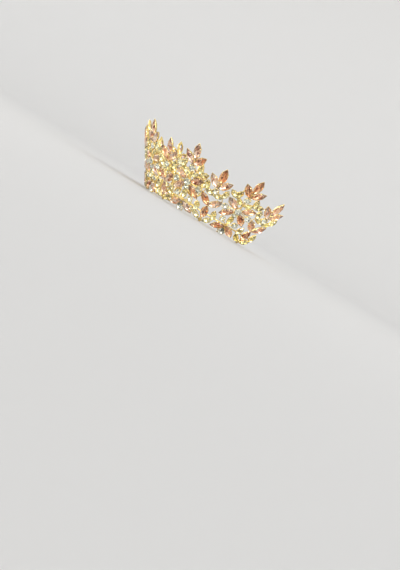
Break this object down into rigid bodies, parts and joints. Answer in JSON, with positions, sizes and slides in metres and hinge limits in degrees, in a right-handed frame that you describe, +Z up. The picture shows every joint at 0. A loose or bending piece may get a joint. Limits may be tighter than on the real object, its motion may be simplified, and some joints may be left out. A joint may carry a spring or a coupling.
{
  "type": "bridal crown",
  "caption": "Open-backed bridal crown of gold claw settings with peach, champagne and clear glass stones in flower and star motifs, leaning outward to stand on a head or a table.",
  "frame": {"origin": "on the surface that the crown stands on, under the middle of its bounding box", "axes": "+Z up, +X to the right of somebody facing the crown's front, -Y towards that viewer; the open back faces +Y"},
  "size_m": [0.1956, 0.126, 0.0614],
  "materials": {
    "gold": "polished, gold plated",
    "peach_glass": "faceted, foil backed",
    "clear_glass": "faceted, foil backed, pale green sheen"
  },
  "bodies": {
    "root": {"base_wire": "gold", "flower_1_hub_stone": "clear_glass", "flower_1_setting": "gold", "flower_1_sprig_left": "peach_glass", "flower_1_sprig_right": "peach_glass", "flower_1_sprig_top": "peach_glass", "flower_2_hub_stone": "clear_glass", "flower_2_setting": "gold", "flower_2_sprig_left": "peach_glass", "flower_2_sprig_right": "peach_glass", "flower_2_sprig_top": "peach_glass", "flower_3_hub_stone": "clear_glass", "flower_3_setting": "gold", "flower_3_sprig_left": "peach_glass", "flower_3_sprig_right": "peach_glass", "flower_3_sprig_top": "peach_glass", "flower_4_hub_stone": "clear_glass", "flower_4_setting": "gold", "flower_4_sprig_left": "peach_glass", "flower_4_sprig_right": "peach_glass", "flower_4_sprig_top": "peach_glass", "flower_5_hub_stone": "clear_glass", "flower_5_setting": "gold", "flower_5_sprig_left": "peach_glass", "flower_5_sprig_right": "peach_glass", "flower_5_sprig_top": "peach_glass", "star_1_setting": "gold", "star_1_sprig_left": "peach_glass", "star_1_sprig_right": "peach_glass", "star_1_sprig_top": "peach_glass", "star_2_setting": "gold", "star_2_sprig_left": "peach_glass", "star_2_sprig_right": "peach_glass", "star_2_sprig_top": "peach_glass", "star_3_setting": "gold", "star_3_sprig_left": "peach_glass", "star_3_sprig_right": "peach_glass", "star_3_sprig_top": "peach_glass", "star_4_setting": "gold", "star_4_sprig_left": "peach_glass", "star_4_sprig_right": "peach_glass", "star_4_sprig_top": "peach_glass", "star_5_setting": "gold", "star_5_sprig_left": "peach_glass", "star_5_sprig_right": "peach_glass", "star_5_sprig_top": "peach_glass", "star_6_setting": "gold", "star_6_sprig_left": "peach_glass", "star_6_sprig_right": "peach_glass", "star_6_sprig_top": "peach_glass"}
  },
  "joints": []
}
